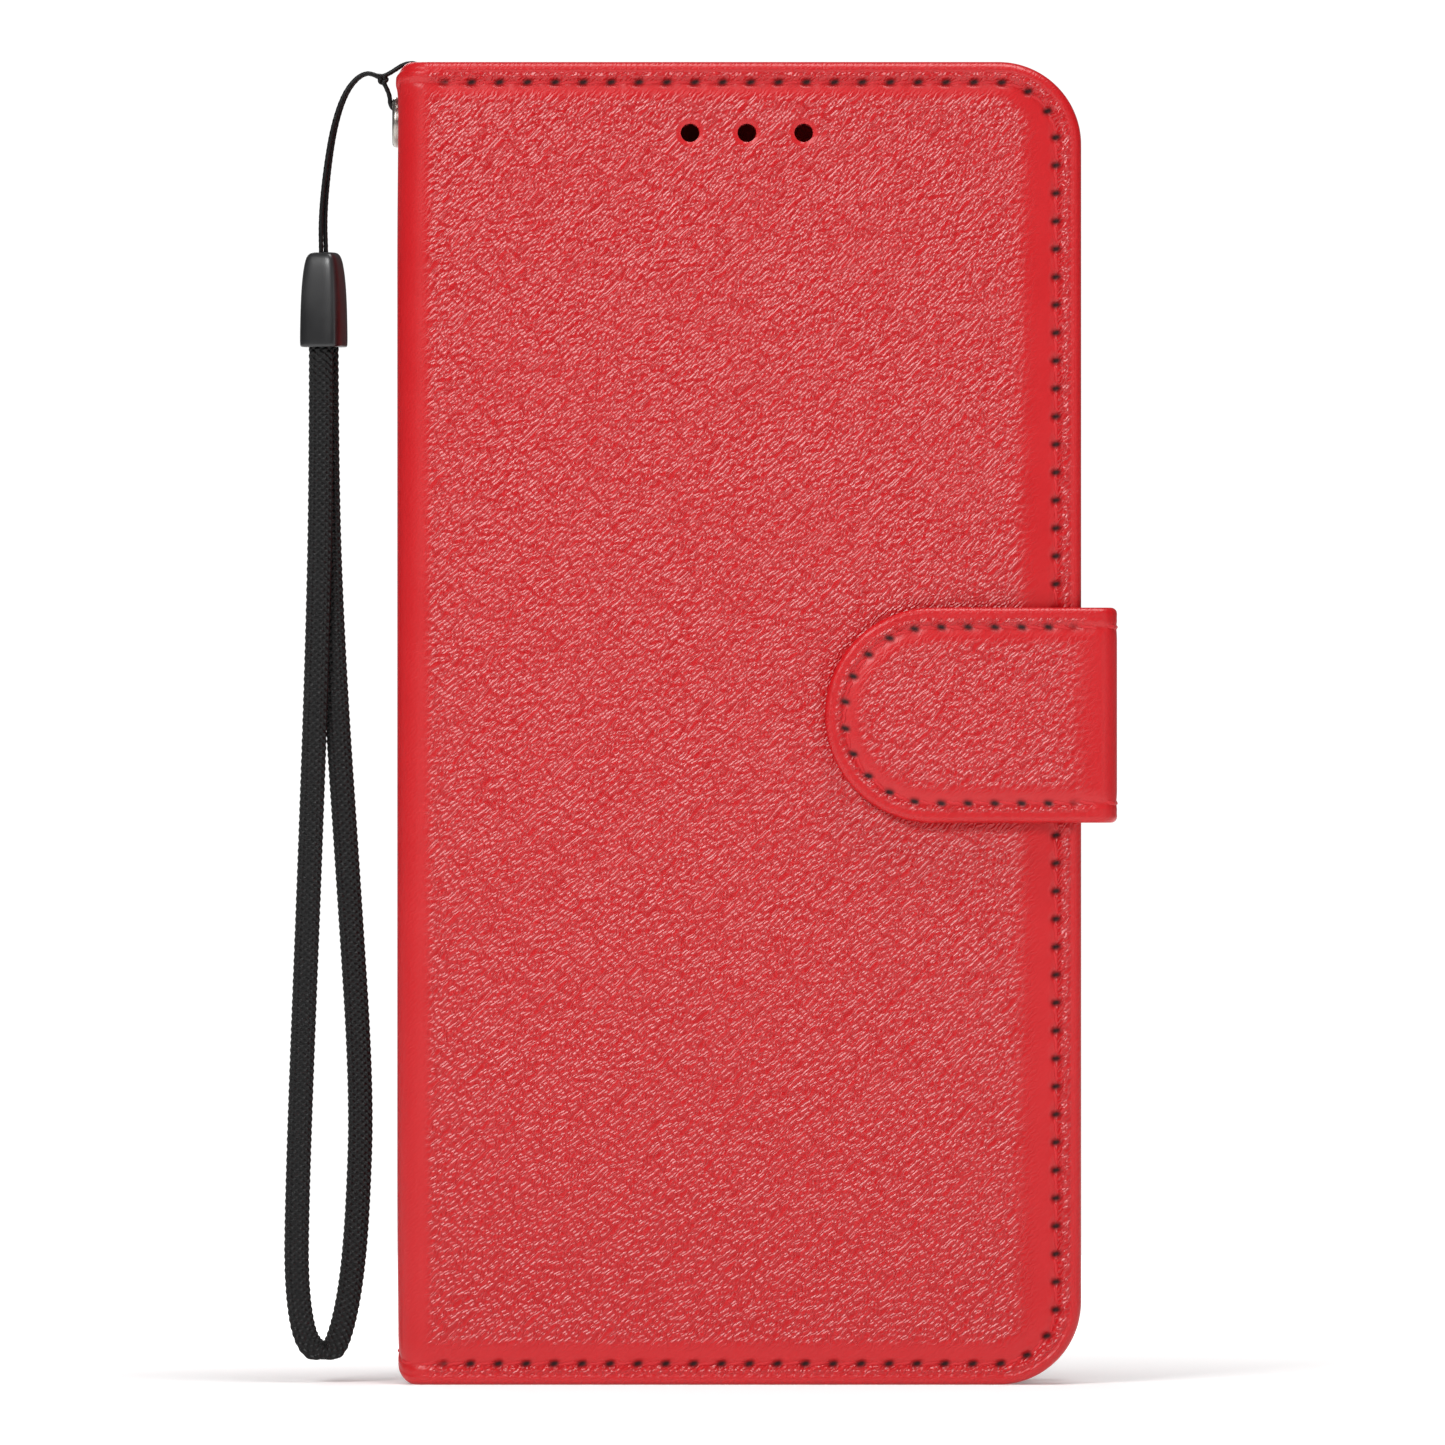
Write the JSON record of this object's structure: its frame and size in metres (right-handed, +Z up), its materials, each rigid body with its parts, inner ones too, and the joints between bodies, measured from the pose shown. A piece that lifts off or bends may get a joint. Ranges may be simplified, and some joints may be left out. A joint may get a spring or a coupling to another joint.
{
  "type": "phone wallet case",
  "caption": "Book-style folding phone wallet case in pebbled leather, with a magnetic clasp flap, card pockets, a soft phone tray and a wrist lanyard.",
  "frame": {"origin": "under the middle of the closed case's box, on the surface that it stands on, lanyard not counted", "axes": "+Z up along the spine, -Y out of the front cover, -X towards the spine and +X towards the clasp"},
  "size_m": [0.1027, 0.0212, 0.164],
  "materials": {
    "red_leather": "pebbled, satin",
    "lining": "smooth matte",
    "red_thread": "twisted thread",
    "board": "grey board",
    "foam": "matte",
    "adhesive": "tacky film",
    "soft_shell": "satin",
    "nickel": "polished nickel",
    "magnet_steel": "plated",
    "black_cord": "woven cord",
    "black_plastic": "satin gloss",
    "black_braid": "flat braid"
  },
  "bodies": {
    "back_cover": {"back_leather": "red_leather", "back_stitching": "red_thread", "back_board": "board", "back_lining": "lining", "shell_adhesive": "adhesive", "phone_shell": "soft_shell", "clasp_root": "red_leather"},
    "spine": {"spine_leather": "red_leather", "spine_stitching": "red_thread", "spine_lining": "lining", "eyelet": "nickel", "eyelet_washer": "nickel", "eyelet_cord_loop": "black_cord"},
    "front_cover": {"front_leather": "red_leather", "front_stitching": "red_thread", "front_foam": "foam", "front_board": "board", "cover_magnet_plate": "magnet_steel", "front_lining": "lining", "bill_pocket": "lining", "card_slot_1": "lining", "card_slot_2": "lining", "card_slot_3": "lining"},
    "clasp_side": {"clasp_side_leather": "red_leather", "clasp_side_lining": "lining"},
    "clasp_flap": {"flap_leather": "red_leather", "flap_lining": "lining", "flap_stiffener": "board", "clasp_magnet": "magnet_steel", "clasp_stitching": "red_thread"},
    "lanyard": {"cord_knot": "black_cord", "lanyard_cord_front": "black_cord", "lanyard_cord_back": "black_cord", "strap_ferrule": "black_plastic", "ferrule_crimp": "nickel", "wrist_strap": "black_braid"}
  },
  "joints": [
    {"name": "spine_fold", "type": "hinge", "parent": "back_cover", "child": "spine", "pos_m": [-0.04282, 0.00952, 0.0815], "axis": [0, 0, -1], "range_deg": [0, 180]},
    {"name": "cover_fold", "type": "hinge", "parent": "spine", "child": "front_cover", "pos_m": [-0.04282, -0.00732, 0.0815], "axis": [0, 0, -1], "range_deg": [0, 180]},
    {"name": "clasp_side_fold", "type": "hinge", "parent": "back_cover", "child": "clasp_side", "pos_m": [0.0439, 0.0091, 0.0825], "axis": [0, 0, 1], "range_deg": [0, 170]},
    {"name": "clasp_flap_fold", "type": "hinge", "parent": "clasp_side", "child": "clasp_flap", "pos_m": [0.0439, -0.00965, 0.0825], "axis": [0, 0, 1], "range_deg": [0, 110]},
    {"name": "lanyard_swing", "type": "hinge", "parent": "spine", "child": "lanyard", "pos_m": [-0.0459, 0.0011, 0.1611], "axis": [0, 1, 0], "range_deg": [0, 80]}
  ]
}
